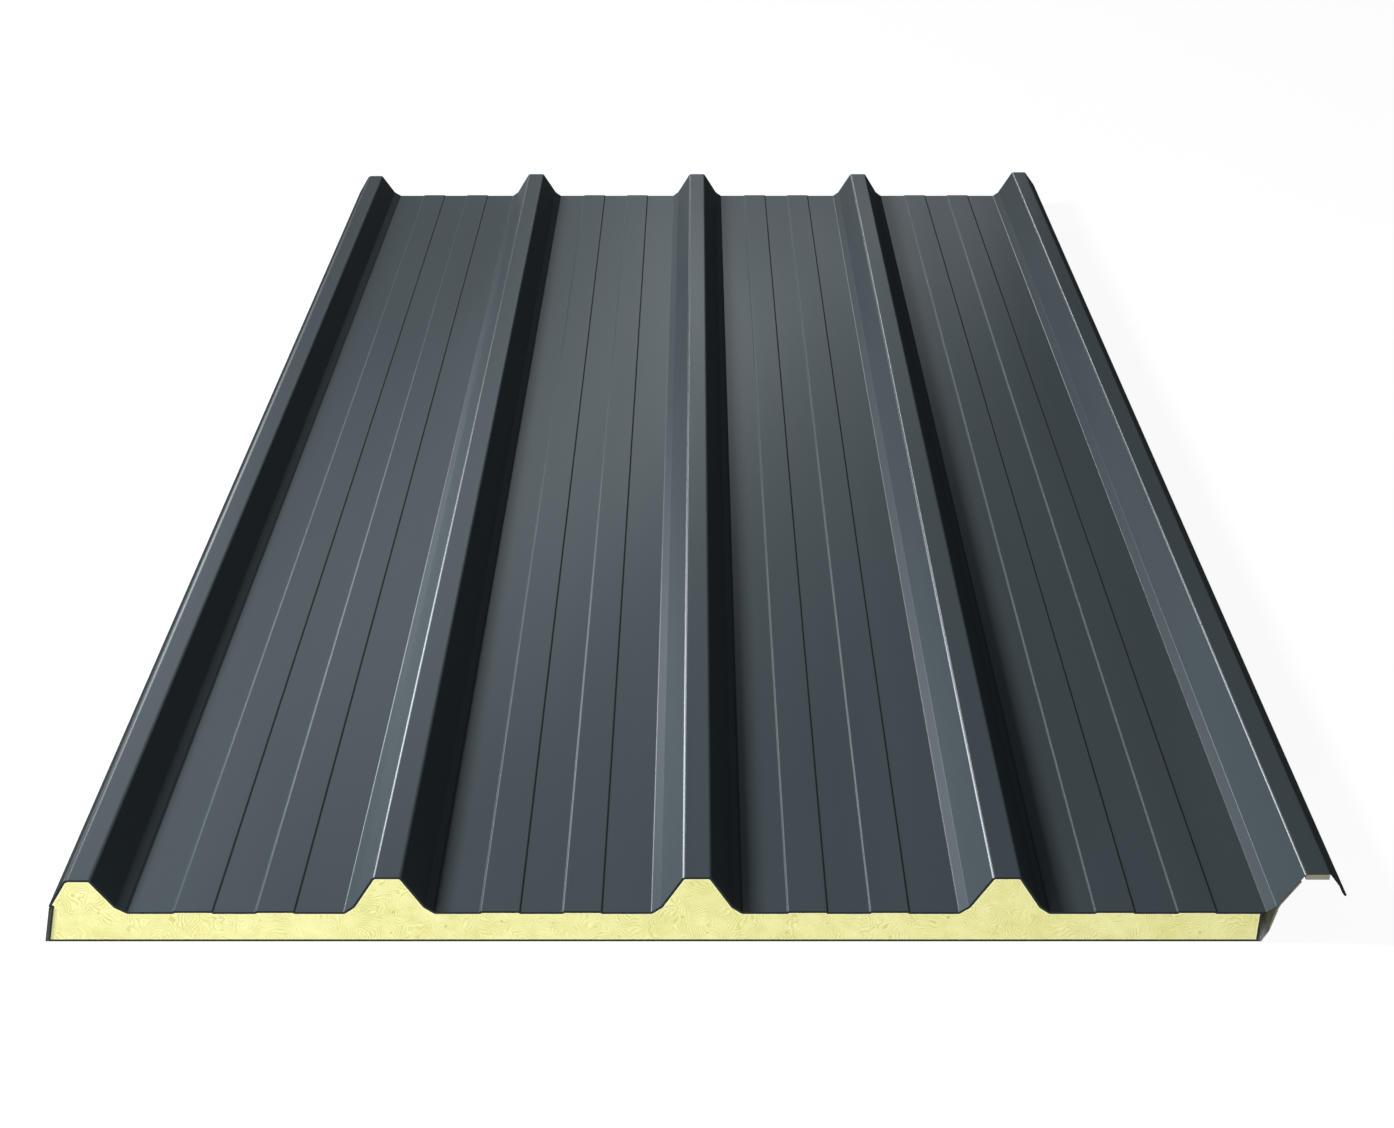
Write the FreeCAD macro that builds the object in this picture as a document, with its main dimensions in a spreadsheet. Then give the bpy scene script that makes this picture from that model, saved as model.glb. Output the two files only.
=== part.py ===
"""Insulated roof panel: two coated steel facings bonded to a rigid foam core.

Millimetres.  X runs across the cover width, Y along the ribs and Z up, with
the origin on the underside, below the middle rib and halfway along the panel.
Every piece is a cross-section extruded over the panel's length.  A section is
a sketch driven by the spreadsheet.  For a sheet or tape it is the line of one
face, and the gauge lies on its left, seen the way that the line runs.
"""

import math
import os

import FreeCAD
import Part
import Sketcher
from FreeCAD import Vector

# name: (value, what it is); lengths in mm, angles in degrees
SIZES = {
    "length": (1800.0, "panel length along the ribs"),
    "pitch": (250.0, "rib to rib"),
    "spans": (4.0, "pans between the first rib and the overlap rib"),
    "thickness": (30.0, "underside to the low part of a pan"),
    "outer_gauge": (0.5, "outer sheet"),
    "inner_gauge": (0.5, "inner sheet"),
    "rib_height": (35.0, "crest above the pan"),
    "crest_half": (11.0, "half of a crest"),
    "knee_half": (29.0, "half of a rib where its flank begins"),
    "knee_height": (6.0, "where the flank begins, above the pan"),
    "foot_half": (37.0, "half of a rib at the pan"),
    "lead": (3.5, "flat before a rib's foot; the foam ends there at the joint"),
    "bend": (2.2, "bend radius of a rib, under the sheet"),
    "tight_bend": (0.4, "bend radius of a hem or return"),
    "swage_rise": (1.0, "height of the shallow swages in a pan"),
    "swage_run": (2.0, "width of the slope that carries a swage"),
    "swage_1": (74.0, "first step up, from the rib on its left"),
    "swage_2": (106.0, "first step down"),
    "swage_3": (141.0, "second step up"),
    "swage_4": (172.5, "second step down"),
    "under_drop": (3.0, "how far the underlap crest lies below the others"),
    "under_narrow": (1.0, "underlap crest, narrower than the others on each side"),
    "under_knee_in": (1.5, "underlap rib's inner knee, nearer its middle than a full rib's"),
    "under_edge_in": (3.0, "underlap rib's outer edge, nearer its middle than a full rib's"),
    "return_run": (2.8, "edge of the outer sheet turned into the foam"),
    "return_dip": (0.4, "slope of that return"),
    "over_rise": (3.0, "how far the overlap crest stands above the others"),
    "over_narrow": (1.2, "overlap crest, narrower than the others on each side"),
    "free_angle": (53.0, "slope of the overlap's free flank"),
    "free_length": (25.6, "length of the overlap's free flank"),
    "hem_gap": (0.9, "open space in the hem"),
    "hem_length": (4.0, "how far the hem runs back"),
    "side_lean": (8.2, "lean of the underlap side over its height"),
    "left_lip_gap": (1.2, "left lip to the edge of the outer sheet"),
    "joint_gap": (3.0, "foam to the bottom corner of the joint's lip"),
    "lip_bulge_out": (5.2, "bottom corner to where the joint's lip turns steep"),
    "lip_bulge_up": (10.5, "height of that turn"),
    "lip_top_out": (1.3, "top of the joint's lip, beyond the overlap's knee"),
    "lip_top_up": (2.0, "top of the joint's lip, above the pan"),
    "left_tape": (2.0, "tape thickness on the underlap side"),
    "left_tape_inset": (1.0, "lip's bend and top to the ends of that tape"),
    "right_tape": (1.5, "tape thickness in the joint"),
    "tape_lap": (3.5, "start of the joint's tape, above the lip's turn"),
    "tape_turn_up": (0.8, "where that tape turns towards the flank, above the lip's top"),
    "tape_over_knee": (2.2, "where that tape meets the flank, above its knee"),
    "tape_below_crest": (6.5, "end of that tape, below the overlap crest"),
    "seal_inset": (0.3, "lap seal, narrower than its crest on each side"),
    "seal_height": (5.0, "lap seal"),
    "seal_round": (1.5, "upper corners of the lap seal"),
}


class Dim:
    """A number together with the spreadsheet expression that gives it."""

    def __init__(self, value, text=None):
        self.value = float(value)
        self.text = repr(float(value)) if text is None else text

    def join(self, other, sign, result):
        return Dim(result, "(%s %s %s)" % (self.text, sign, other.text))

    def __add__(self, other):
        other = as_dim(other)
        return self.join(other, "+", self.value + other.value)

    def __sub__(self, other):
        other = as_dim(other)
        return self.join(other, "-", self.value - other.value)

    def __mul__(self, other):
        other = as_dim(other)
        return self.join(other, "*", self.value * other.value)

    def __truediv__(self, other):
        other = as_dim(other)
        return self.join(other, "/", self.value / other.value)

    def __neg__(self):
        return Dim(0) - self


def as_dim(number):
    return number if isinstance(number, Dim) else Dim(number)


def cos_of(angle):
    return Dim(math.cos(math.radians(angle.value)), "cos(%s * 1 deg)" % angle.text)


def sin_of(angle):
    return Dim(math.sin(math.radians(angle.value)), "sin(%s * 1 deg)" % angle.text)


def slope_of(start, end):
    """Angle in degrees of the line between two corners."""
    run, rise = end[0] - start[0], end[1] - start[1]
    value = math.degrees(math.atan2(rise.value, run.value))
    return Dim(value, "(atan2(%s; %s) / 1 deg)" % (rise.text, run.text))


def beside(corner, angle, distance):
    """The corner moved to the right-hand side of a line at that angle."""
    x, z, radius = corner
    return (x + sin_of(angle) * distance, z - cos_of(angle) * distance, radius)


doc = FreeCAD.newDocument("insulated_panel")
params = doc.addObject("Spreadsheet::Sheet", "params")
params.Label = "Dimensions"
size = {}
for row, (name, (value, note)) in enumerate(SIZES.items(), start=1):
    params.set("A%d" % row, name)
    params.set("B%d" % row, repr(value))
    params.setAlias("B%d" % row, name)
    params.set("C%d" % row, note)
    size[name] = Dim(value, "params." + name)
doc.recompute()


def unit(start, end):
    run, rise = end[0] - start[0], end[1] - start[1]
    length = math.hypot(run, rise)
    return run / length, rise / length


def section(name, corners, closed=False):
    """Sketch of lines through the corners, each rounded by its own radius."""
    sketch = doc.addObject("Sketcher::SketchObject", name)
    turn_up = FreeCAD.Rotation(Vector(1, 0, 0), 90)
    sketch.Placement = FreeCAD.Placement(Vector(0, 0, 0), turn_up)
    at = [(x.value, z.value) for x, z, radius in corners]
    count = len(corners)
    ends, arcs = [], []
    for i, (x, z, radius) in enumerate(corners):
        open_end = not closed and i in (0, count - 1)
        if open_end or radius.value == 0:
            ends.append((at[i], at[i]))
            arcs.append(None)
            continue
        before, after = unit(at[i - 1], at[i]), unit(at[i], at[(i + 1) % count])
        cross = before[0] * after[1] - before[1] * after[0]
        dot = before[0] * after[0] + before[1] * after[1]
        side = 1 if cross > 0 else -1
        back = radius.value * math.tan(abs(math.atan2(cross, dot)) / 2)
        a = (at[i][0] - before[0] * back, at[i][1] - before[1] * back)
        b = (at[i][0] + after[0] * back, at[i][1] + after[1] * back)
        hub = (a[0] - before[1] * radius.value * side, a[1] + before[0] * radius.value * side)
        out = unit(hub, at[i])
        mid = (hub[0] + out[0] * radius.value, hub[1] + out[1] * radius.value)
        arc = sketch.addGeometry(Part.Arc(Vector(*a, 0), Vector(*mid, 0), Vector(*b, 0)))
        ends.append((a, b))
        arcs.append((arc, side, radius))
    lines = []
    for i in range(count if closed else count - 1):
        a, b = ends[i][1], ends[(i + 1) % count][0]
        lines.append(sketch.addGeometry(Part.LineSegment(Vector(*a, 0), Vector(*b, 0))))

    rules, driven = [], []

    def place(geometry, point, x, z):
        driven.append((len(rules), x))
        rules.append(Sketcher.Constraint("DistanceX", -1, 1, geometry, point, x.value))
        driven.append((len(rules), z))
        rules.append(Sketcher.Constraint("DistanceY", -1, 1, geometry, point, z.value))

    for i, (x, z, radius) in enumerate(corners):
        into = lines[i - 1] if closed or i > 0 else None
        away = lines[i] if closed or i < count - 1 else None
        if arcs[i] is None:
            place(*((away, 1) if away is not None else (into, 2)), x, z)
            if into is not None and away is not None:
                rules.append(Sketcher.Constraint("Coincident", into, 2, away, 1))
            continue
        arc, side, radius = arcs[i]
        first, last = (1, 2) if side > 0 else (2, 1)
        rules.append(Sketcher.Constraint("Tangent", into, 2, arc, first))
        rules.append(Sketcher.Constraint("Tangent", arc, last, away, 1))
        driven.append((len(rules), radius))
        rules.append(Sketcher.Constraint("Radius", arc, radius.value))
        corner = sketch.addGeometry(Part.Point(Vector(*at[i], 0)), True)
        rules.append(Sketcher.Constraint("PointOnObject", corner, 1, into))
        rules.append(Sketcher.Constraint("PointOnObject", corner, 1, away))
        place(corner, 1, x, z)
    sketch.addConstraint(rules)
    for index, dim in driven:
        if "params." in dim.text:
            sketch.setExpression("Constraints[%d]" % index, dim.text)
    return sketch


def strip(name, corners, gauge):
    """A sheet or tape of even gauge, whose right-hand face has these corners."""
    skin = doc.addObject("Part::Offset2D", name + "_skin")
    skin.Source = section(name + "_line", corners)
    skin.setExpression("Value", gauge.text)
    skin.Mode = "Skin"
    skin.Join = "Arc"
    skin.Fill = True
    return run_out(name, skin)


def run_out(name, face):
    """Extrude a cross-section evenly both ways along the ribs."""
    solid = doc.addObject("Part::Extrusion", name)
    solid.Base = face
    solid.DirMode = "Custom"
    solid.Dir = Vector(0, 1, 0)
    solid.Symmetric = True
    solid.Solid = True
    solid.setExpression("LengthFwd", size["length"].text)
    return solid


NONE = Dim(0)
bend, tight = size["bend"], size["tight_bend"]
half_cover = size["pitch"] * size["spans"] / 2
pan = size["thickness"] - size["outer_gauge"]
knee = pan + size["knee_height"]
crest = pan + size["rib_height"]


# The corners of one repeat: a full rib and the pan to its right.
def pan_swages(rib):
    """The two shallow swages in the pan to the right of a rib."""
    corners = []
    for start, end in (("swage_1", "swage_2"), ("swage_3", "swage_4")):
        for name, turn in ((start, 1), (end, -1)):
            low = (rib + size[name] - size["swage_run"] / 2 * turn, pan, size["swage_run"])
            top = (rib + size[name] + size["swage_run"] / 2 * turn,
                   pan + size["swage_rise"], size["swage_run"])
            corners += [low, top] if turn > 0 else [top, low]
    return corners


middle = NONE
repeat_start = -(size["foot_half"] + size["lead"])
repeat = [
    (repeat_start, pan, NONE),
    (-size["foot_half"], pan, bend),
    (-size["knee_half"], knee, bend),
    (-size["crest_half"], crest, bend),
    (middle + size["crest_half"], crest, bend),
    (middle + size["knee_half"], knee, bend),
    (middle + size["foot_half"], pan, bend),
] + pan_swages(middle) + [
    (repeat_start + size["pitch"], pan, NONE),
]

# The first rib lies under the next panel, and its edge is turned into the foam.
first = -half_cover
under_crest = crest - size["under_drop"]
under_half = size["crest_half"] - size["under_narrow"]
under_edge = (first - size["knee_half"] + size["under_edge_in"], knee, tight)
return_tip = (under_edge[0] + size["return_run"], knee - size["return_dip"], NONE)
underlap = [
    return_tip,
    under_edge,
    (first - under_half, under_crest, bend),
    (first + under_half, under_crest, bend),
    (first + size["knee_half"] - size["under_knee_in"], knee, bend),
    (first + size["foot_half"], pan, bend),
] + pan_swages(first) + [
    (first + repeat_start + size["pitch"], pan, NONE),
]

# The last rib is empty: it laps over the next panel and ends in a hem.
last = half_cover
over_crest = crest + size["over_rise"]
lap_knee = (last - size["knee_half"], knee, bend)
over_half = size["crest_half"] - size["over_narrow"]
lap_left = (last - over_half, over_crest, bend)
lap_right = (last + over_half, over_crest, bend)
down_x, down_z = cos_of(size["free_angle"]), -sin_of(size["free_angle"])
hem_outer = (lap_right[0] + down_x * size["free_length"],
             lap_right[1] + down_z * size["free_length"], tight)
hem_inner = (hem_outer[0] + down_z * size["hem_gap"],
             hem_outer[1] - down_x * size["hem_gap"], tight)
hem_end = (hem_inner[0] - down_x * size["hem_length"],
           hem_inner[1] - down_z * size["hem_length"], NONE)
overlap = [
    (last + repeat_start, pan, NONE),
    (last - size["foot_half"], pan, bend),
    lap_knee, lap_left, lap_right, hem_outer, hem_inner, hem_end,
]


def repeats(name, unit_solid):
    """Copies of one repeat, set at the pitch between the first and last rib."""
    copies = []
    for number in range(1, int(size["spans"].value)):
        copy = doc.addObject("App::Link", "%s_%d" % (name, number))
        copy.LinkedObject = unit_solid
        place = first + size["pitch"] * number
        copy.setExpression(".Placement.Base.x", place.text)
        copies.append(copy)
    return copies


def joined(name, pieces):
    whole = doc.addObject("Part::MultiFuse", name)
    whole.Shapes = pieces
    whole.Refine = True
    return whole


gauge = size["outer_gauge"]
outer = joined("outer_sheet", [
    strip("underlap_rib", underlap, gauge),
    *repeats("rib", strip("full_rib", repeat, gauge)),
    strip("overlap_rib", overlap, gauge),
])
outer.Label = "Outer sheet"

# Inner sheet: flat, with a lip turned up at each side of the panel.
def on_line(base, slope, height, radius=NONE):
    """Point at a given height on a line through a corner."""
    return (base[0] + (height - base[1]) * cos_of(slope) / sin_of(slope), height, radius)


left_corner = (under_edge[0] - size["side_lean"], NONE, tight * 2)
left_slope = slope_of(left_corner, under_edge)
left_tip = on_line(left_corner, left_slope, knee - size["left_lip_gap"])
foam_end = last + repeat_start
right_corner = (foam_end + size["joint_gap"], NONE, tight * 2)
lip_bulge = (right_corner[0] + size["lip_bulge_out"], size["lip_bulge_up"], bend)
lip_top = (lap_knee[0] + size["lip_top_out"], pan + size["lip_top_up"], NONE)
inner = strip("inner_sheet", [left_tip, left_corner, right_corner, lip_bulge, lip_top],
              size["inner_gauge"])
inner.Label = "Inner sheet"

# Left tape: a closed-cell strip on the inside of the left lip.
tape_low = size["inner_gauge"] + size["left_tape_inset"]
tape_high = left_tip[1] - size["left_tape_inset"]


def by_left_lip(height, inward):
    """Point at that height, so far inside the outer face of the left lip."""
    x = left_corner[0] + height * cos_of(left_slope) / sin_of(left_slope)
    return (x + inward / sin_of(left_slope), height, NONE)


tape_back = size["inner_gauge"] + size["left_tape"]
left_tape = run_out("left_tape", section("left_tape_face", [
    by_left_lip(tape_low, size["inner_gauge"]),
    by_left_lip(tape_low, tape_back),
    by_left_lip(tape_high, tape_back),
    by_left_lip(tape_high, size["inner_gauge"]),
], closed=True))
left_tape.Label = "Left edge tape"

# Joint tape: up the inside of the right lip, then up under the overlap's flank.
lip_slope = slope_of(lip_bulge, lip_top)
flank_slope = slope_of(lap_knee, lap_left)


def on_lip(height, radius=NONE):
    """Point of the lip's inner face, which the tape is stuck to."""
    return beside(on_line(lip_bulge, lip_slope, height, radius), lip_slope, -size["inner_gauge"])


def under_flank(height, radius=NONE):
    """Point of the face that the tape shows below the overlap's flank."""
    return beside(on_line(lap_knee, flank_slope, height, radius), flank_slope, size["right_tape"])


right_tape = strip("right_tape", [
    on_lip(lip_bulge[1] + size["tape_lap"]),
    on_lip(lip_top[1] + size["tape_turn_up"], bend),
    under_flank(knee + size["tape_over_knee"], bend),
    under_flank(over_crest - size["tape_below_crest"]),
], size["right_tape"])
right_tape.Label = "Joint tape"

# Lap seal: stuck under the crest of the overlap rib.
seal_left = last - over_half + size["seal_inset"]
seal_right = last + over_half - size["seal_inset"]
seal_low = over_crest - size["seal_height"]
seal = run_out("lap_seal", section("lap_seal_face", [
    (seal_left, seal_low, NONE),
    (seal_right, seal_low, NONE),
    (seal_right, over_crest, size["seal_round"]),
    (seal_left, over_crest, size["seal_round"]),
], closed=True))
seal.Label = "Lap seal"

# Foam core: poured between the sheets, round the return of the outer one.
return_low = (return_tip[0], return_tip[1] - size["outer_gauge"], NONE)
first_end = first + repeat_start + size["pitch"]
first_block = run_out("first_block", section("first_block_face", [
    by_left_lip(size["inner_gauge"], tape_back),
    by_left_lip(tape_high, tape_back),
    return_low,
] + underlap + [
    (first_end, size["inner_gauge"], NONE),
], closed=True))
rib_block = run_out("rib_block", section("rib_block_face", repeat + [
    (repeat_start + size["pitch"], size["inner_gauge"], NONE),
    (repeat_start, size["inner_gauge"], NONE),
], closed=True))
foam = joined("foam_core", [first_block] + repeats("block", rib_block))
foam.Label = "Foam core"

doc.recompute()
for item in doc.Objects:
    if "Invalid" in item.State or "Error" in item.State:
        raise RuntimeError("%s did not build: %s" % (item.Name, item.State))
    if item.TypeId == "Sketcher::SketchObject" and not item.FullyConstrained:
        raise RuntimeError("%s is not fully constrained" % item.Name)

os.makedirs("parts", exist_ok=True)
for node in (outer, foam, inner, left_tape, right_tape, seal):
    shape = node.Shape
    if not shape.isValid() or len(shape.Solids) != 1:
        raise RuntimeError("%s: %d solids" % (node.Name, len(shape.Solids)))
    shape.Solids[0].exportStep("parts/%s.step" % node.Name)
    print("%-12s %9.1f cm3" % (node.Name, shape.Volume / 1000), shape.BoundBox)
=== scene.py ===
import math

import bmesh
import bpy
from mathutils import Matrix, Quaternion, Vector


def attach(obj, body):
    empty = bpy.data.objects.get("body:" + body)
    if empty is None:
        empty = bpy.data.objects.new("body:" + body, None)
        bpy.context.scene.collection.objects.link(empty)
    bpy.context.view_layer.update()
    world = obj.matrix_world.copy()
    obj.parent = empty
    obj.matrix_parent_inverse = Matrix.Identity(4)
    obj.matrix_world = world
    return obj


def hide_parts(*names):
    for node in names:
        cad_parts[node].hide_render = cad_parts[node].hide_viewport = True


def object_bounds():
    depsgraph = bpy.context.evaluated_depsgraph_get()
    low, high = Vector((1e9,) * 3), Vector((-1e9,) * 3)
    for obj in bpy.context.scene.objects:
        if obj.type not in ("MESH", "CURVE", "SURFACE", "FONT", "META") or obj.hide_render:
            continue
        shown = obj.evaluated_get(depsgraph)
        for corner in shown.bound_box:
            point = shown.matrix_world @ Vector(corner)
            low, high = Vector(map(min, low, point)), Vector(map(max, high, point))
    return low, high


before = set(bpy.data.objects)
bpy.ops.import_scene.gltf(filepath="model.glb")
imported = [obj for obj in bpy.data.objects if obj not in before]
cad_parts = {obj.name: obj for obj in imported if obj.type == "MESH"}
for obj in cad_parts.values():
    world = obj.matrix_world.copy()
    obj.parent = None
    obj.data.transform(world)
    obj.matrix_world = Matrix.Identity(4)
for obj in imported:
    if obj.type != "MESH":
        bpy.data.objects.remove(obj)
cad_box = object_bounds()


# ---------------------------------------------------------------------------
# Outer sheet: 0.5 mm steel, coil coated in satin anthracite and roll formed
# into five ribs with two shallow swages in each pan.  Its left edge is turned
# into the foam, and the free edge of the overlap rib is hemmed.

# The panel's lengths are in millimetres, and MM turns them into metres.
MM = 0.001
LENGTH = (cad_box[1][1] - cad_box[0][1]) / MM
PITCH, THICKNESS, OUTER_GAUGE = 250.0, 30.0, 0.5

# Heights of the sheet's lower face, and half widths of a rib at each of them.
PAN = THICKNESS - OUTER_GAUGE
KNEE, CREST = PAN + 6.0, PAN + 35.0
FOOT_HALF, KNEE_HALF, CREST_HALF = 37.0, 29.0, 11.0
SWAGE_RISE, SWAGE_RUN = 1.0, 1.3
SWAGES = ((74.0, 106.0), (141.0, 172.5))
FIRST_RIB, LAST_RIB = -2 * PITCH, 2 * PITCH

# Radii of the bends, how bright each kind is after a full turn, and that turn.
RIB_BEND, CREST_BEND, SOFT_BEND, TIGHT_BEND = 2.2, 3.0, 5.5, 0.4
POLISH = {SOFT_BEND: 0.25, CREST_BEND: 1.0, RIB_BEND: 1.0, SWAGE_RUN: 0.53}
FULL_POLISH_TURN = math.radians(50.0)


def swages(rib):
    """Corners of the two swages in the pan to the right of a rib."""
    corners = []
    half, top = SWAGE_RUN / 2, PAN + SWAGE_RISE
    for start, end in SWAGES:
        for x, z in ((rib + start - half, PAN), (rib + start + half, top),
                     (rib + end - half, top), (rib + end + half, PAN)):
            corners.append((x, z, SWAGE_RUN))
    return corners


def full_rib(rib):
    """Corners of a rib that stands 35 mm above its pans."""
    left = [(FOOT_HALF, PAN, RIB_BEND), (KNEE_HALF, KNEE, RIB_BEND),
            (CREST_HALF, CREST, CREST_BEND)]
    return ([(rib - half, z, radius) for half, z, radius in left]
            + [(rib + half, z, radius) for half, z, radius in reversed(left)])


# The first rib is lower by a step and the last one higher, so that the last
# rib of the next panel fits over the first of this one.
LAP_STEP = 3.0
UNDER_CREST = CREST - LAP_STEP
UNDER_HALF = CREST_HALF - 1.0
UNDER_EDGE = (FIRST_RIB - KNEE_HALF + 3.0, KNEE, TIGHT_BEND)
UNDER_LEFT = (FIRST_RIB - UNDER_HALF, UNDER_CREST, SOFT_BEND)
RETURN_TIP = (UNDER_EDGE[0] + 2.8, KNEE - 0.4, 0)
covered = [
    RETURN_TIP,
    UNDER_EDGE,
    UNDER_LEFT,
    (FIRST_RIB + UNDER_HALF, UNDER_CREST, CREST_BEND),
    (FIRST_RIB + KNEE_HALF - 1.5, KNEE, RIB_BEND),
    (FIRST_RIB + FOOT_HALF, PAN, RIB_BEND),
] + swages(FIRST_RIB)
for number in (1, 2, 3):
    covered += full_rib(FIRST_RIB + PITCH * number) + swages(FIRST_RIB + PITCH * number)

# The last rib holds no foam, and its right flank ends in a hemmed free edge.
OVER_CREST = CREST + LAP_STEP
OVER_HALF = CREST_HALF - 1.2
FREE_ANGLE, FREE_LENGTH = math.radians(53.0), 25.6
HEM_GAP, HEM_LENGTH = 0.9, 4.0
down = Vector((math.cos(FREE_ANGLE), -math.sin(FREE_ANGLE)))
inward = Vector((down.y, -down.x))
hem_outer = Vector((LAST_RIB + OVER_HALF, OVER_CREST)) + down * FREE_LENGTH
hem_inner = hem_outer + inward * HEM_GAP
hem_end = hem_inner - down * HEM_LENGTH
LAP_KNEE = (LAST_RIB - KNEE_HALF, KNEE, RIB_BEND)
LAP_LEFT = (LAST_RIB - OVER_HALF, OVER_CREST, RIB_BEND)
overlap = [
    (LAST_RIB - FOOT_HALF, PAN, RIB_BEND),
    LAP_KNEE,
    LAP_LEFT,
    (LAST_RIB + OVER_HALF, OVER_CREST, RIB_BEND),
    (*hem_outer, TIGHT_BEND),
    (*hem_inner, TIGHT_BEND),
    (*hem_end, 0),
]

# An arc takes six steps, or three where it starts this near to its corner.
BEND_STEPS, SHORT_REACH = 6, 0.45


def round_bends(bm, corners, front, closed=False):
    """Bevel each lengthwise edge so that its arc has the corner's radius."""
    burnish = bm.faces.layers.float.new("burnish")
    groups = {}
    count = len(corners)
    for i, (x, z, radius) in enumerate(corners):
        if not radius or (not closed and i in (0, count - 1)):
            continue
        here = Vector((x, z))
        before = here - Vector(corners[i - 1][:2])
        after = Vector(corners[(i + 1) % count][:2]) - here
        edge = next(e for e in front[i].link_edges
                    if abs(e.verts[0].co.y - e.verts[1].co.y) > LENGTH / 2 * MM)
        groups.setdefault((radius, round(before.angle(after), 4)), []).append(edge)
    for (radius, turn), edges in groups.items():
        back = radius * math.tan(turn / 2)
        steps = BEND_STEPS if back > SHORT_REACH else BEND_STEPS // 2
        arcs = bmesh.ops.bevel(bm, geom=edges, offset=back * MM, offset_type="OFFSET",
                               segments=steps, profile=0.5, affect="EDGES", material=-1)
        for face in arcs["faces"]:
            polish = POLISH.get(radius, 0.0) * (turn / FULL_POLISH_TURN) ** 1.5
            face[burnish] = min(polish, 1.0)


def line_of(bm, corners):
    """Corner points at the panel's near end."""
    return [bm.verts.new((x * MM, -LENGTH / 2 * MM, z * MM)) for x, z, radius in corners]


def add_piece(bm, name):
    """Object at the origin that takes over this bmesh."""
    mesh = bpy.data.meshes.new(name)
    bm.to_mesh(mesh)
    bm.free()
    piece = bpy.data.objects.new(name, mesh)
    bpy.context.scene.collection.objects.link(piece)
    return piece


SHARP_TURN = math.radians(40.0)


def finish_shading(piece):
    """Even shading over the bends, and crisp cut edges."""
    for face in piece.data.polygons:
        face.use_smooth = True
    piece.data.set_sharp_from_angle(angle=SHARP_TURN)
    weighted = piece.modifiers.new("flat faces first", "WEIGHTED_NORMAL")
    weighted.keep_sharp = True
    weighted.weight = 100


def roll_form(name, corners, gauge):
    """A strip of even gauge; its corners run along its right-hand face."""
    bm = bmesh.new()
    front = line_of(bm, corners)
    edges = [bm.edges.new(pair) for pair in zip(front, front[1:])]
    drawn = bmesh.ops.extrude_edge_only(bm, edges=edges)["geom"]
    bmesh.ops.translate(bm, verts=[v for v in drawn if isinstance(v, bmesh.types.BMVert)],
                        vec=(0, LENGTH * MM, 0))
    bm.normal_update()
    way = front[1].co - front[0].co
    left = Vector((-way.z, 0, way.x))
    if edges[0].link_faces[0].normal.dot(left) < 0:
        bmesh.ops.reverse_faces(bm, faces=bm.faces[:])
    round_bends(bm, corners, front)
    piece = add_piece(bm, name)
    wall = piece.modifiers.new("gauge", "SOLIDIFY")
    wall.thickness = gauge * MM
    wall.offset = 1.0
    wall.use_even_offset = True
    wall.use_quality_normals = True
    with bpy.context.temp_override(object=piece, active_object=piece):
        bpy.ops.object.modifier_apply(modifier=wall.name)
    finish_shading(piece)
    return piece


class Nodes:
    """Short way to add and join the nodes of a material or a group."""

    def __init__(self, tree):
        self.tree = tree

    def add(self, kind, inputs=None, **settings):
        """Node with these settings; an input is a value or another's output."""
        node = self.tree.nodes.new(kind)
        for name, value in settings.items():
            setattr(node, name, value)
        for name, value in (inputs or {}).items():
            socket = node.inputs[name]
            if isinstance(value, bpy.types.NodeSocket):
                self.link(value, socket)
            else:
                socket.default_value = value
        return node

    def link(self, value, socket):
        self.tree.links.new(value, socket)

    def axes(self, kind, output):
        """X, Y and Z of a vector that a node of this kind puts out."""
        source = self.add(kind).outputs[output]
        return self.add("ShaderNodeSeparateXYZ", {0: source}).outputs

    def math(self, operation, *values, clamp=False):
        inputs = dict(enumerate(values))
        return self.add("ShaderNodeMath", inputs, operation=operation,
                        use_clamp=clamp).outputs[0]

    def mix(self, factor, one, two):
        """Colour one where the factor is 0 and colour two where it is 1."""
        node = self.add("ShaderNodeMix", {0: factor, 6: one, 7: two}, data_type="RGBA")
        return node.outputs[2]

    def ramp(self, value, low, high, out_low=0.0, out_high=1.0):
        """Value between low and high, spread evenly over the output range."""
        node = self.add("ShaderNodeMapRange", {0: value, 1: low, 2: high,
                                               3: out_low, 4: out_high})
        return node.outputs[0]

    def noise(self, place, scale, detail=3.0, rough=0.5, warp=0.0):
        inputs = {"Vector": place, "Scale": scale, "Detail": detail,
                  "Roughness": rough, "Distortion": warp}
        return self.add("ShaderNodeTexNoise", inputs).outputs["Fac"]


def new_material(name):
    """Material with a Principled shader and nothing else yet."""
    material = bpy.data.materials.new(name)
    material.use_nodes = True
    material.node_tree.nodes.clear()
    nodes = Nodes(material.node_tree)
    shader = nodes.add("ShaderNodeBsdfPrincipled")
    nodes.add("ShaderNodeOutputMaterial", {"Surface": shader.outputs[0]})
    return material, nodes, shader


def new_group(name, inputs, outputs):
    """Node group with named inputs, as (name, socket type, value), and outputs."""
    group = bpy.data.node_groups.new(name, "ShaderNodeTree")
    for label, kind, value in inputs:
        socket = group.interface.new_socket(name=label, in_out="INPUT", socket_type=kind)
        socket.default_value = value
    for label, kind in outputs:
        group.interface.new_socket(name=label, in_out="OUTPUT", socket_type=kind)
    nodes = Nodes(group)
    source = nodes.add("NodeGroupInput")
    sink = nodes.add("NodeGroupOutput")
    return group, nodes, source.outputs, sink.inputs


def place_group(nodes, group, inputs):
    """Put a group into a material with its own values."""
    node = nodes.add("ShaderNodeGroup", node_tree=group)
    for name, value in inputs.items():
        node.inputs[name].default_value = value
    return node.outputs


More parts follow.
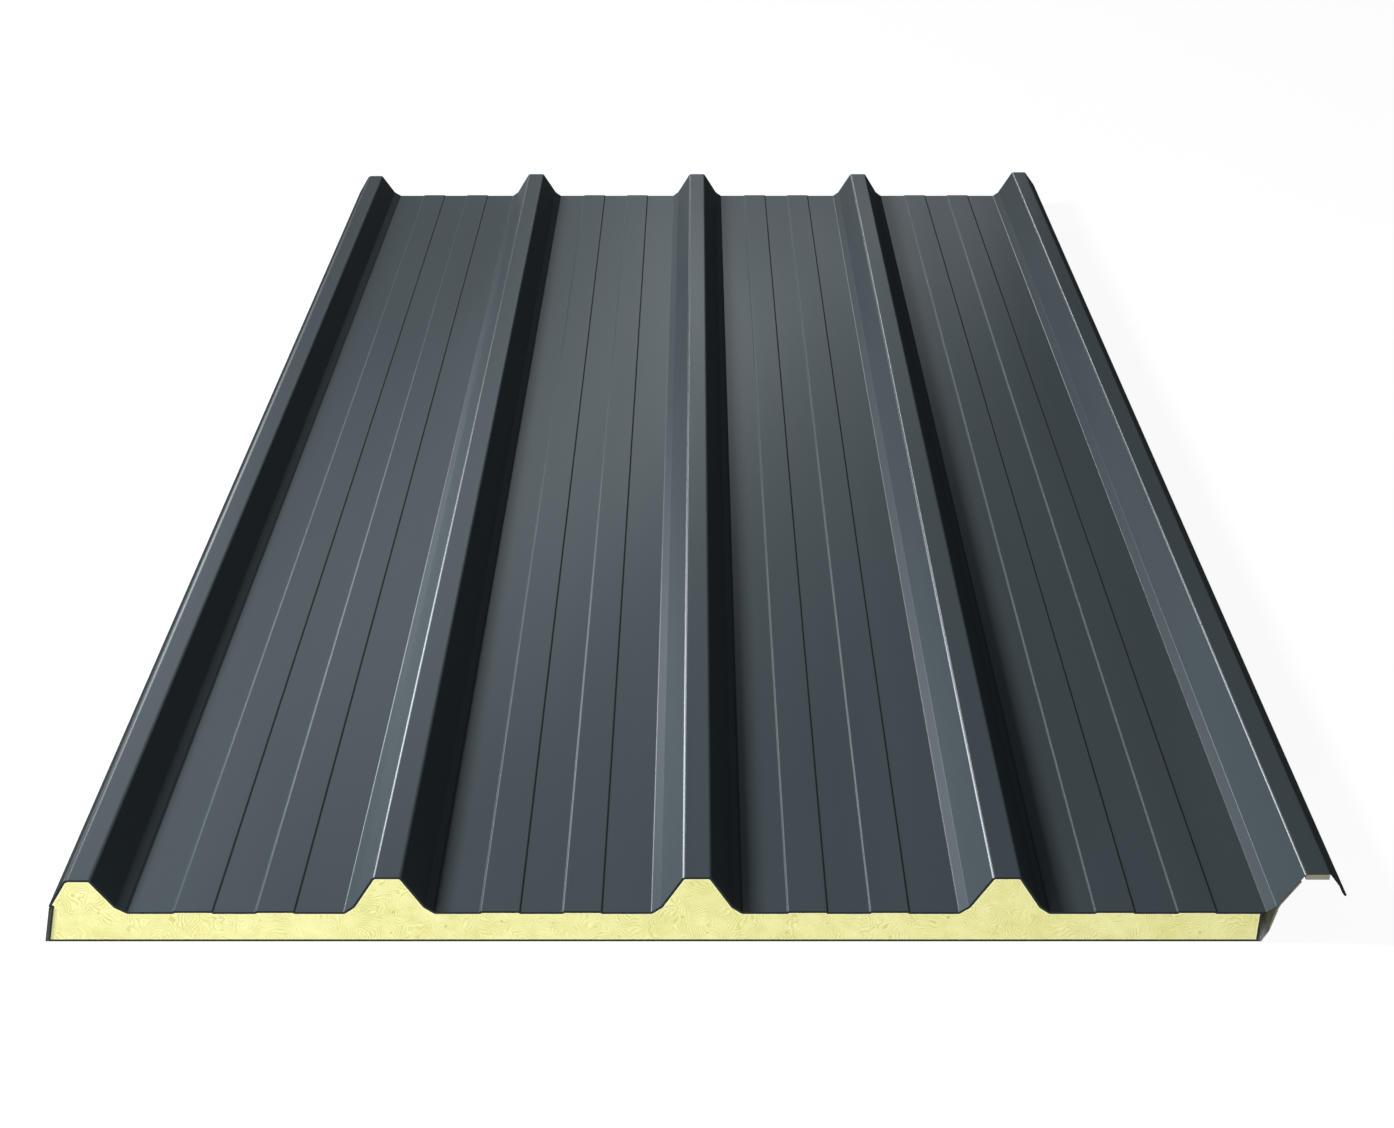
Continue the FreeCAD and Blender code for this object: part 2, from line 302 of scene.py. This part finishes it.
# Baked polyester coating: slow drifts of tone along the coil and the faint
# marks of the coating roller.
coating_group, g, given, result = new_group(
    "coil coating",
    [("Color", "NodeSocketColor", (0.5, 0.5, 0.5, 1)),
     ("Roughness", "NodeSocketFloat", 0.4),
     ("Drift", "NodeSocketFloat", 0.06)],
    [("Color", "NodeSocketColor"), ("Roughness", "NodeSocketFloat"),
     ("Height", "NodeSocketFloat")])
here = g.add("ShaderNodeTexCoord").outputs["Object"]
along = g.add("ShaderNodeMapping", {"Vector": here, "Scale": (9.0, 1.1, 9.0)})
marks = g.add("ShaderNodeMapping", {"Vector": here, "Scale": (420.0, 2.0, 420.0)})
drift = g.ramp(g.noise(along.outputs[0], 1.0, 2.0, 0.5, 0.6), 0.25, 0.75, -1.0, 1.0)
roller = g.ramp(g.noise(marks.outputs[0], 1.0, 2.0, 0.6), 0.3, 0.7, -1.0, 1.0)
tone = g.math("ADD", 1.0, g.math("MULTIPLY", drift, given["Drift"]))
tone = g.math("ADD", tone, g.math("MULTIPLY", roller, 0.012))
toned = g.add("ShaderNodeHueSaturation", {"Color": given["Color"], "Value": tone})
rough = g.math("ADD", given["Roughness"], g.math("MULTIPLY", drift, 0.03), clamp=True)
g.link(toned.outputs[0], result["Color"])
g.link(rough, result["Roughness"])
g.link(roller, result["Height"])


def end_mask(nodes):
    """1 on the sawn ends of the panel, 0 elsewhere."""
    facing = nodes.axes("ShaderNodeNewGeometry", "Normal")
    return nodes.ramp(nodes.math("ABSOLUTE", facing["Y"]), 0.6, 0.8)


ANTHRACITE = (0.0565, 0.0740, 0.0840, 1)
PAINTED_SHADE_DARK = (0.0160, 0.0220, 0.0260, 1)
CUT_EDGE_SHADE = (0.0130, 0.0190, 0.0240, 1)
outer_finish, m, shader = new_material("anthracite coil coating")
coat = place_group(m, coating_group, {"Color": ANTHRACITE, "Roughness": 0.30,
                                      "Drift": 0.05})
at = m.axes("ShaderNodeTexCoord", "Object")
facing = m.axes("ShaderNodeNewGeometry", "Normal")

# The left flank of the first rib is painted dark, a painted shade, and made
# matt.  All that faces right is somewhat matt, and down beside the pans, as
# on the swages, painted darker as shade as well.
left_flank_shade = m.ramp(at["X"], (UNDER_LEFT[0] - 1.0) * MM, (UNDER_LEFT[0] - 1.6) * MM)
rightward = m.ramp(facing["X"], 0.15, 0.45)
near_pan = m.ramp(at["Z"], (PAN + 2.0) * MM, (PAN + 1.7) * MM)
step_shade = m.math("MULTIPLY", m.math("MULTIPLY", rightward, near_pan), 0.6)
# Painted shade on the first rib's left flank and on the right-facing steps by the pans.
color = m.mix(left_flank_shade, coat["Color"], PAINTED_SHADE_DARK)
color = m.mix(step_shade, color, PAINTED_SHADE_DARK)
# The cut ends are painted dark, as painted shade.
m.link(m.mix(end_mask(m), color, CUT_EDGE_SHADE), shader.inputs["Base Color"])
matt = m.math("MAXIMUM", m.math("MULTIPLY", rightward, 0.35),
              m.math("MULTIPLY", left_flank_shade, 0.6))
m.link(m.math("ADD", coat["Roughness"], matt), shader.inputs["Roughness"])
bump = m.add("ShaderNodeBump", {"Height": coat["Height"], "Strength": 0.02,
                                "Distance": 0.2 * MM})
m.link(bump.outputs[0], shader.inputs["Normal"])
shader.inputs["IOR"].default_value = 1.45
shader.inputs["Specular IOR Level"].default_value = 0.27

# The bends that face left are burnished, and the more so the further they turn.
burnish = m.add("ShaderNodeAttribute", attribute_name="burnish").outputs["Fac"]
leftward = m.ramp(facing["X"], 0.0, -0.05)
m.link(m.math("MULTIPLY", burnish, leftward), shader.inputs["Coat Weight"])
shader.inputs["Coat Roughness"].default_value = 0.20
shader.inputs["Coat IOR"].default_value = 3.4

outer_sheet = roll_form("outer_sheet_formed", covered + overlap, OUTER_GAUGE)
outer_sheet.data.materials.append(outer_finish)
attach(outer_sheet, "root")
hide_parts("outer_sheet")


# ---------------------------------------------------------------------------
# Inner sheet: 0.5 mm steel with a pale grey coating, flat across the room
# side.  The forming line turns up a lip at each side: a straight one along
# the underlap, and a bowed one that closes the joint.

INNER_GAUGE, CORNER_BEND = 0.5, 0.8
LIP_LEAN = 8.2
LEFT_CORNER = (UNDER_EDGE[0] - LIP_LEAN, 0.0, CORNER_BEND)
LEFT_LIP_TOP = KNEE - 1.2
lean = LIP_LEAN / KNEE

# The foam ends short of the last rib, and the lip stands clear of it.
FOAM_GAP, LIP_CLEAR, BULGE, BULGE_HEIGHT = 3.5, 3.0, 5.2, 10.5
FOAM_END = LAST_RIB - FOOT_HALF - FOAM_GAP
RIGHT_CORNER = (FOAM_END + LIP_CLEAR, 0.0, CORNER_BEND)
LIP_BULGE = (RIGHT_CORNER[0] + BULGE, BULGE_HEIGHT, RIB_BEND)
LIP_TOP = (LAP_KNEE[0] + 1.3, PAN + 2.0, 0)
inner_line = [
    (LEFT_CORNER[0] + LEFT_LIP_TOP * lean, LEFT_LIP_TOP, 0),
    LEFT_CORNER,
    RIGHT_CORNER,
    LIP_BULGE,
    LIP_TOP,
]

PALE_GREY = (0.50, 0.52, 0.52, 1)
LIP_EDGE_HIGHLIGHT = (0.40, 0.41, 0.42, 1)
LIP_LOW = (0.45, 0.46, 0.48, 1)
LIP_SHADE_DARK = (0.025, 0.026, 0.017, 1)
inner_finish, m, shader = new_material("pale grey coil coating")
coat = place_group(m, coating_group, {"Color": PALE_GREY, "Roughness": 0.42,
                                      "Drift": 0.04})
at = m.axes("ShaderNodeTexCoord", "Object")
facing = m.axes("ShaderNodeNewGeometry", "Normal")

# Inside the joint the back of the lip is painted from pale, lifted where little light
# reaches, to dark with height: painted shade in the joint.
in_joint = m.ramp(at["X"], (RIGHT_CORNER[0] - 0.3) * MM, (RIGHT_CORNER[0] + 0.7) * MM)
inside = m.math("MULTIPLY", in_joint, m.ramp(facing["X"], -0.2, -0.4))
lip_shade = m.mix(m.ramp(at["Z"], 3.0 * MM, 16.0 * MM), LIP_LOW, LIP_SHADE_DARK)
coated = m.mix(inside, coat["Color"], lip_shade)
# The cut end is painted dark, as shade, along the bottom, and painted light on the lip, as
# a highlight.
edge = m.mix(in_joint, CUT_EDGE_SHADE, LIP_EDGE_HIGHLIGHT)
m.link(m.mix(end_mask(m), coated, edge), shader.inputs["Base Color"])
m.link(coat["Roughness"], shader.inputs["Roughness"])
bump = m.add("ShaderNodeBump", {"Height": coat["Height"], "Strength": 0.12,
                                "Distance": 0.2 * MM})
m.link(bump.outputs[0], shader.inputs["Normal"])

inner_sheet = roll_form("inner_sheet_formed", inner_line, INNER_GAUGE)
inner_sheet.data.materials.append(inner_finish)
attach(inner_sheet, "root")
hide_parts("inner_sheet")


# ---------------------------------------------------------------------------
# Edge tapes: closed-cell strips fed in from reels before the foam.  One lies
# on the inside of the left lip; the other climbs the joint's lip and runs on
# up the underside of the overlap's flank, so the joint closes on it.

LEFT_TAPE, RIGHT_TAPE = 2.0, 1.5


def extrude_closed(name, corners, rings=()):
    """A solid length with this outline, its bends rounded.

    Both ends get rings of these widths inside their outline, and the value
    rim counts them inwards."""
    bm = bmesh.new()
    rim = bm.verts.layers.float.new("rim")
    front = line_of(bm, corners)
    drawn = bmesh.ops.extrude_face_region(bm, geom=[bm.faces.new(front)])["geom"]
    bmesh.ops.translate(bm, verts=[v for v in drawn if isinstance(v, bmesh.types.BMVert)],
                        vec=(0, LENGTH * MM, 0))
    round_bends(bm, corners, front, closed=True)
    bmesh.ops.recalc_face_normals(bm, faces=bm.faces[:])
    for number, width in enumerate(rings, start=1):
        ends = [f for f in bm.faces if abs(f.normal.y) > 0.99 and len(f.verts) > 4]
        bmesh.ops.inset_individual(bm, faces=ends, thickness=width * MM,
                                   use_even_offset=True)
        for face in ends:
            for vert in face.verts:
                vert[rim] = float(number)
    piece = add_piece(bm, name)
    finish_shading(piece)
    return piece


def by_left_lip(height, depth):
    """Point at a height, this deep behind the left lip's outer face."""
    slope = math.atan2(1.0, lean)
    return (LEFT_CORNER[0] + height * lean + depth / math.sin(slope), height, 0)


TAPE_LOW, TAPE_HIGH = INNER_GAUGE + 1.0, LEFT_LIP_TOP - 1.0
TAPE_BACK = INNER_GAUGE + LEFT_TAPE
left_tape_line = [
    by_left_lip(TAPE_LOW, INNER_GAUGE),
    by_left_lip(TAPE_LOW, TAPE_BACK),
    by_left_lip(TAPE_HIGH, TAPE_BACK),
    by_left_lip(TAPE_HIGH, INNER_GAUGE),
]


def on_line(base, tip, height, aside, radius=RIB_BEND):
    """Point at a height beside the line from base to tip, right side positive."""
    way = (Vector(tip[:2]) - Vector(base[:2])).normalized()
    x = base[0] + (height - base[1]) * way.x / way.y
    return (x + way.y * aside, height - way.x * aside, radius)


# Heights at which the tape starts, leaves the lip, meets the flank and ends.
TAPE_START, TAPE_LEAVES = BULGE_HEIGHT + 3.5, LIP_TOP[1] + 0.8
TAPE_MEETS, TAPE_END = KNEE + 2.2, OVER_CREST - 6.5
right_tape_line = [
    on_line(LIP_BULGE, LIP_TOP, TAPE_START, -INNER_GAUGE, 0),
    on_line(LIP_BULGE, LIP_TOP, TAPE_LEAVES, -INNER_GAUGE),
    on_line(LAP_KNEE, LAP_LEFT, TAPE_MEETS, RIGHT_TAPE),
    on_line(LAP_KNEE, LAP_LEFT, TAPE_END, RIGHT_TAPE, 0),
]

# Cross-linked foam: cells of half a millimetre or less, mottled and matt.
cells_group, g, given, result = new_group(
    "closed cells",
    [("Color", "NodeSocketColor", (0.3, 0.3, 0.3, 1)),
     ("Cell size", "NodeSocketFloat", 0.35),
     ("Mottle", "NodeSocketFloat", 0.2)],
    [("Color", "NodeSocketColor"), ("Height", "NodeSocketFloat")])
here = g.add("ShaderNodeTexCoord").outputs["Object"]
fineness = g.math("DIVIDE", 1000.0, given["Cell size"])
cell = g.add("ShaderNodeTexVoronoi", {"Vector": here, "Scale": fineness},
             feature="DISTANCE_TO_EDGE").outputs["Distance"]
wall_height = g.ramp(cell, 0.0, 0.12, 1.0, 0.0)
blotch = g.ramp(g.noise(here, 120.0, 4.0, 0.6), 0.3, 0.7, -1.0, 1.0)
tone = g.math("ADD", 1.0, g.math("MULTIPLY", blotch, given["Mottle"]))
tone = g.math("ADD", tone, g.math("MULTIPLY", wall_height, 0.12))
toned = g.add("ShaderNodeHueSaturation", {"Color": given["Color"], "Value": tone})
g.link(toned.outputs[0], result["Color"])
g.link(wall_height, result["Height"])


def foam_strip_material(name, color, cell_size, mottle, roughness):
    """Closed-cell foam of this colour, its cell size in mm."""
    material, m, shader = new_material(name)
    cells = place_group(m, cells_group, {"Color": color, "Cell size": cell_size,
                                         "Mottle": mottle})
    m.link(cells["Color"], shader.inputs["Base Color"])
    bump = m.add("ShaderNodeBump", {"Height": cells["Height"], "Strength": 0.5,
                                    "Distance": 0.2 * MM})
    m.link(bump.outputs[0], shader.inputs["Normal"])
    shader.inputs["Roughness"].default_value = roughness
    shader.inputs["IOR"].default_value = 1.4
    return material


DARK_OLIVE = (0.060, 0.060, 0.042, 1)
OLIVE = (0.17, 0.165, 0.11, 1)

left_tape = extrude_closed("left_tape_strip", left_tape_line)
left_tape.data.materials.append(
    foam_strip_material("dark edge tape", DARK_OLIVE, 0.4, mottle=0.25, roughness=0.8))
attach(left_tape, "root")
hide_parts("left_tape")

right_tape = roll_form("joint_tape_strip", right_tape_line, RIGHT_TAPE)
right_tape.data.materials.append(
    foam_strip_material("olive joint tape", OLIVE, 0.4, mottle=0.2, roughness=0.75))
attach(right_tape, "root")
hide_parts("right_tape")


# ---------------------------------------------------------------------------
# Foam core: rigid foam that rises between the sheets and cures bonded to
# them.  The saw leaves a soft pale yellow face with swirls from the rise of
# the foam, fine cells and a few open pores; it is denser beside the sheets.

foam_line = [
    by_left_lip(INNER_GAUGE, TAPE_BACK),
    by_left_lip(TAPE_HIGH, TAPE_BACK),
    (RETURN_TIP[0], RETURN_TIP[1] - OUTER_GAUGE, 0),
] + [(x, z, radius if radius >= RIB_BEND else 0) for x, z, radius in covered] + [
    (FOAM_END, PAN, 0),
    (FOAM_END, INNER_GAUGE, 0),
]
# The outer ring of each end carries a painted shade line, the inner one the pale skin.
SHADE_LINE_WIDTH, SKIN_WIDTH = 1.6, 0.8
foam_core = extrude_closed("foam_core_poured", foam_line, (SHADE_LINE_WIDTH, SKIN_WIDTH))

FOAM_YELLOW = (0.765, 0.748, 0.302, 1)
FOAM_PALE = (0.940, 0.920, 0.480, 1)
FOAM_RIM = (0.945, 0.925, 0.470, 1)
FOAM_STROKE = (0.610, 0.575, 0.185, 1)
FOAM_PORE = (0.420, 0.400, 0.120, 1)
FOAM_TAPE_SHADE = (0.100, 0.100, 0.035, 1)
OUTLINE_SHADE = (0.016, 0.024, 0.028, 1)
foam_finish, m, shader = new_material("pale yellow rigid foam")
here = m.add("ShaderNodeTexCoord").outputs["Object"]

# Swirls: fine bands that lie another way in each patch of risen foam.
bend_field = m.add("ShaderNodeTexNoise", {"Vector": here, "Scale": 40.0, "Detail": 2.0})
shifted = m.add("ShaderNodeVectorMath", {0: bend_field.outputs["Color"],
                                         1: (0.5, 0.5, 0.5)}, operation="SUBTRACT")
swayed = m.add("ShaderNodeVectorMath", {0: shifted.outputs[0], 3: 30.0 * MM},
               operation="SCALE")
swirl_at = m.add("ShaderNodeVectorMath", {0: here, 1: swayed.outputs[0]}).outputs[0]
patch = m.add("ShaderNodeTexVoronoi", {"Vector": swirl_at, "Scale": 62.0})
patch_turn = m.add("ShaderNodeSeparateXYZ", {0: patch.outputs["Color"]}).outputs[0]
turned = m.add("ShaderNodeVectorRotate",
               {"Vector": swirl_at, "Axis": (0.0, 1.0, 0.0),
                "Angle": m.math("MULTIPLY", patch_turn, 6.3)}, rotation_type="AXIS_ANGLE")
strokes = m.add("ShaderNodeTexWave", {"Vector": turned.outputs[0], "Scale": 118.0,
                                      "Distortion": 2.4, "Detail": 3.0,
                                      "Detail Scale": 1.3},
                wave_type="BANDS", bands_direction="X").outputs["Fac"]
dark_zone = m.ramp(m.noise(here, 95.0, 3.0), 0.42, 0.60)
pale_zone = m.ramp(m.noise(swirl_at, 80.0, 3.0), 0.40, 0.58)
dark_stroke = m.math("MULTIPLY", m.ramp(strokes, 0.30, 0.02), dark_zone)
pale_stroke = m.math("MULTIPLY", m.ramp(strokes, 0.70, 0.98), pale_zone)

# Clouds of denser foam, fine cells and a few open pores.
cloud = m.noise(here, 30.0, 4.0, 0.6, 0.8)
fine = m.noise(here, 420.0, 3.0, 0.6)
pores = m.add("ShaderNodeTexVoronoi", {"Vector": here, "Scale": 80.0,
                                       "Randomness": 1.0}).outputs["Distance"]
pore_zone = m.ramp(m.noise(here, 60.0, 2.0), 0.50, 0.58)
pore = m.math("MULTIPLY", m.ramp(pores, 0.13, 0.06), pore_zone)
color = m.mix(m.ramp(cloud, 0.36, 0.66, 0.0, 0.55), FOAM_YELLOW, FOAM_PALE)
color = m.mix(m.math("MULTIPLY", dark_stroke, 0.8), color, FOAM_STROKE)
color = m.mix(m.math("MULTIPLY", pale_stroke, 0.7), color, FOAM_PALE)
color = m.mix(m.ramp(fine, 0.35, 0.85, 0.0, 0.20), color, FOAM_PALE)
color = m.mix(m.math("MULTIPLY", pore, 0.7), color, FOAM_PORE)

# On the sawn ends: a pale skin round the foam, painted shade beside the edge
# tape, and a dark line of painted shade at the outline.
sawn = end_mask(m)
rim = m.add("ShaderNodeAttribute", attribute_name="rim").outputs["Fac"]
skin = m.math("MULTIPLY", m.ramp(rim, 1.98, 1.7), sawn)
color = m.mix(m.math("MULTIPLY", skin, 0.85), color, FOAM_RIM)
at = m.axes("ShaderNodeTexCoord", "Object")
lip_at = m.math("MULTIPLY_ADD", at["Z"], lean, LEFT_CORNER[0] * MM)
from_lip = m.math("SUBTRACT", at["X"], lip_at)
# Painted shade beside the left tape, darker towards the lip and below the tape's top.
tape_shade = m.math("MULTIPLY", m.ramp(from_lip, 8.5 * MM, 3.0 * MM),
               m.ramp(at["Z"], (TAPE_HIGH + 0.6) * MM, (TAPE_HIGH - 0.4) * MM))
tape_shade = m.math("MULTIPLY", m.math("POWER", tape_shade, 1.6), m.math("MULTIPLY", sawn, 0.9))
color = m.mix(tape_shade, color, FOAM_TAPE_SHADE)
# Painted shade: a dark line round the outline, where the foam meets the sheets.
outline_shade = m.math("MULTIPLY", m.ramp(rim, 1.02, 0.94), sawn)
color = m.mix(outline_shade, color, OUTLINE_SHADE)
m.link(color, shader.inputs["Base Color"])
shader.inputs["Roughness"].default_value = 0.85
shader.inputs["IOR"].default_value = 1.3
relief = m.math("SUBTRACT", m.math("MULTIPLY", fine, 0.4), pore)
relief = m.math("ADD", relief, m.math("MULTIPLY", strokes, 0.4))
bump = m.add("ShaderNodeBump", {"Height": relief, "Strength": 0.25,
                                "Distance": 0.6 * MM})
m.link(bump.outputs[0], shader.inputs["Normal"])

foam_core.data.materials.append(foam_finish)
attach(foam_core, "root")
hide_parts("foam_core")


# ---------------------------------------------------------------------------
# Lap seal: a beige closed-cell strip stuck under the crest of the overlap
# rib, grey along its lowest edge.  The next panel's first rib presses up
# into it.

SEAL_HEIGHT, SEAL_ROUND = 5.0, 1.5
BEIGE = (0.30, 0.28, 0.18, 1)
LOW_EDGE_GREY = (0.26, 0.29, 0.31, 1)
seal_half = OVER_HALF - 0.3
seal_low = OVER_CREST - SEAL_HEIGHT
seal_line = [
    (LAST_RIB - seal_half, seal_low, 0),
    (LAST_RIB + seal_half, seal_low, 0),
    (LAST_RIB + seal_half, OVER_CREST, SEAL_ROUND),
    (LAST_RIB - seal_half, OVER_CREST, SEAL_ROUND),
]
seal_finish = foam_strip_material("beige lap seal", BEIGE, 0.5, mottle=0.15, roughness=0.7)

# The lowest part of the strip is grey.
m = Nodes(seal_finish.node_tree)
shader = m.tree.nodes["Principled BSDF"]
at = m.axes("ShaderNodeTexCoord", "Object")
skin = m.ramp(at["Z"], (seal_low + 1.5) * MM, (seal_low + 1.1) * MM)
beige = shader.inputs["Base Color"].links[0].from_socket
m.link(m.mix(skin, beige, LOW_EDGE_GREY), shader.inputs["Base Color"])

lap_seal = extrude_closed("lap_seal_strip", seal_line)
lap_seal.data.materials.append(seal_finish)
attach(lap_seal, "root")
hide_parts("lap_seal")


# ---------------------------------------------------------------------------
# Studio: a white floor, a key lamp up to the left, a broad lamp in front of
# the sawn end, and cool lamps behind that draw the light along the bends.
# The camera stands in front of that end and looks down along the ribs.  The
# studio is in metres.

FLOOR_HALF = 30.0
bm = bmesh.new()
bmesh.ops.create_grid(bm, x_segments=1, y_segments=1, size=FLOOR_HALF)
floor = add_piece(bm, "studio_floor")
floor_finish, m, shader = new_material("white floor")
m.tree.nodes.remove(shader)

# Seen directly, the floor is white but for the object's shadow.
seen = m.add("ShaderNodeLightPath").outputs["Is Camera Ray"]
glow = m.add("ShaderNodeEmission", {"Color": (1, 1, 1, 1), "Strength": 0.935})
shaded = m.add("ShaderNodeBsdfDiffuse", {"Color": (0.14, 0.14, 0.14, 1)})
bright = m.add("ShaderNodeAddShader", {0: glow.outputs[0], 1: shaded.outputs[0]})
plain = m.add("ShaderNodeBsdfDiffuse", {"Color": (0.30, 0.30, 0.30, 1)})
both = m.add("ShaderNodeMixShader", {0: seen, 1: plain.outputs[0], 2: bright.outputs[0]})
m.link(both.outputs[0], m.tree.nodes["Material Output"].inputs["Surface"])
floor.data.materials.append(floor_finish)

# The world lights the panel faintly, and is white where it is seen.
world = bpy.data.worlds.new("studio")
bpy.context.scene.world = world
world.use_nodes = True
w = Nodes(world.node_tree)
world.node_tree.nodes.clear()
seen = w.add("ShaderNodeLightPath").outputs["Is Camera Ray"]
light = w.add("ShaderNodeBackground", {"Color": (0.93, 0.97, 1.0, 1), "Strength": 0.078})
white = w.add("ShaderNodeBackground", {"Color": (1, 1, 1, 1), "Strength": 1.0})
both = w.add("ShaderNodeMixShader", {0: seen, 1: light.outputs[0], 2: white.outputs[0]})
w.add("ShaderNodeOutputWorld", {"Surface": both.outputs[0]})


WHITE, SKY = (1.0, 1.0, 1.0), (0.86, 0.95, 1.0)


def lamp(name, at, aim, size, power, roll=0.0, color=WHITE):
    """Rectangular soft lamp, in metres and watts, rolled by some degrees."""
    data = bpy.data.lights.new(name, "AREA")
    data.shape = "RECTANGLE"
    data.size, data.size_y = size
    data.energy = power
    data.color = color
    light = bpy.data.objects.new(name, data)
    bpy.context.scene.collection.objects.link(light)
    light.location = at
    turn = (Vector(aim) - Vector(at)).to_track_quat("-Z", "Y")
    light.rotation_euler = (turn @ Quaternion((0, 0, 1), math.radians(roll))).to_euler()


lamp("key", (-2.1, -0.7, 2.0), (0.0, -0.1, 0.0), (0.2, 0.6), 87)
lamp("front", (-0.9, -4.0, 0.5), (0.0, -0.9, 0.03), (2.4, 0.7), 104)
lamp("sheen_left", (-0.6, 4.2, 2.3), (0.0, 0.2, 0.03), (2.0, 0.5), 7.1, 40, SKY)
lamp("sheen_right", (0.45, 4.2, 1.4), (0.0, 0.2, 0.03), (1.2, 0.4), 2.8, 25, SKY)
lamp("rim_high", (-2.22, 3.5, 2.0), (0.0, 0.0, 0.05), (1.2, 2.2), 13.6, -22, SKY)
lamp("rim_left", (-3.4, 4.5, 1.4), (0.0, 0.0, 0.05), (1.0, 2.0), 15.7, -10, SKY)
lamp("rim_low", (-0.58, 3.5, 0.58), (0.0, 0.0, 0.05), (1.3, 0.14), 0.8, -27, SKY)

CAMERA_AT, CAMERA_PITCH = (0.0, -2.2695, 1.0955), 28.5
SENSOR_WIDTH, FOCAL_LENGTH = 36.0, 54.387374
camera_data = bpy.data.cameras.new("camera")
camera_data.sensor_width = SENSOR_WIDTH
camera_data.lens = FOCAL_LENGTH
camera_data.clip_end = 100.0
camera = bpy.data.objects.new("camera", camera_data)
bpy.context.scene.collection.objects.link(camera)
camera.location = CAMERA_AT
camera.rotation_euler = (math.radians(90.0 - CAMERA_PITCH), 0.0, 0.0)
bpy.context.scene.camera = camera
bpy.context.scene.view_settings.view_transform = "Standard"
